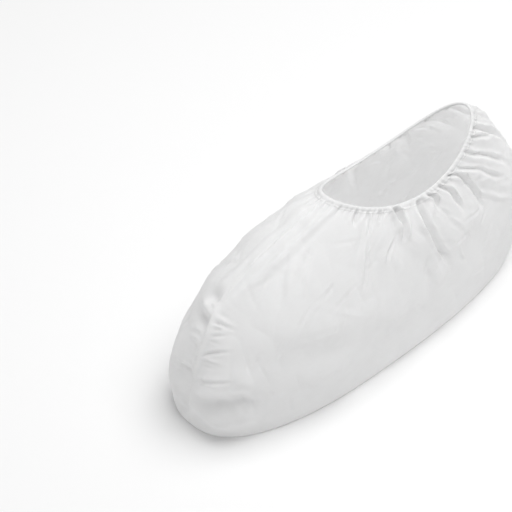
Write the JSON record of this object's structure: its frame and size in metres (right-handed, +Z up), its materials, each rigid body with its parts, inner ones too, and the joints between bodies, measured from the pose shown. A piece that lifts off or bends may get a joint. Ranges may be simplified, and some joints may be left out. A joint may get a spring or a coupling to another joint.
{
  "type": "shoe cover",
  "caption": "Hollow slip-on overshoe of thin white nonwoven cloth: two side panels seamed along the middle, and an elastic hem that gathers the cloth round the ankle opening.",
  "frame": {"origin": "middle of the sole's bounding rectangle, on the floor", "axes": "+Z up out of the ankle opening, -Y towards the toe, +Y towards the heel, +X to the wearer's left; the seam lies in the plane x = 0"},
  "size_m": [0.1154, 0.3219, 0.1387],
  "materials": {
    "cloth": "matt white nonwoven, finely fibrous, softly creased",
    "hem": "the same white nonwoven, folded over elastic and finely ruffled"
  },
  "bodies": {
    "root": {"left_panel": "cloth", "right_panel": "cloth", "elastic_hem": "hem"}
  },
  "joints": []
}
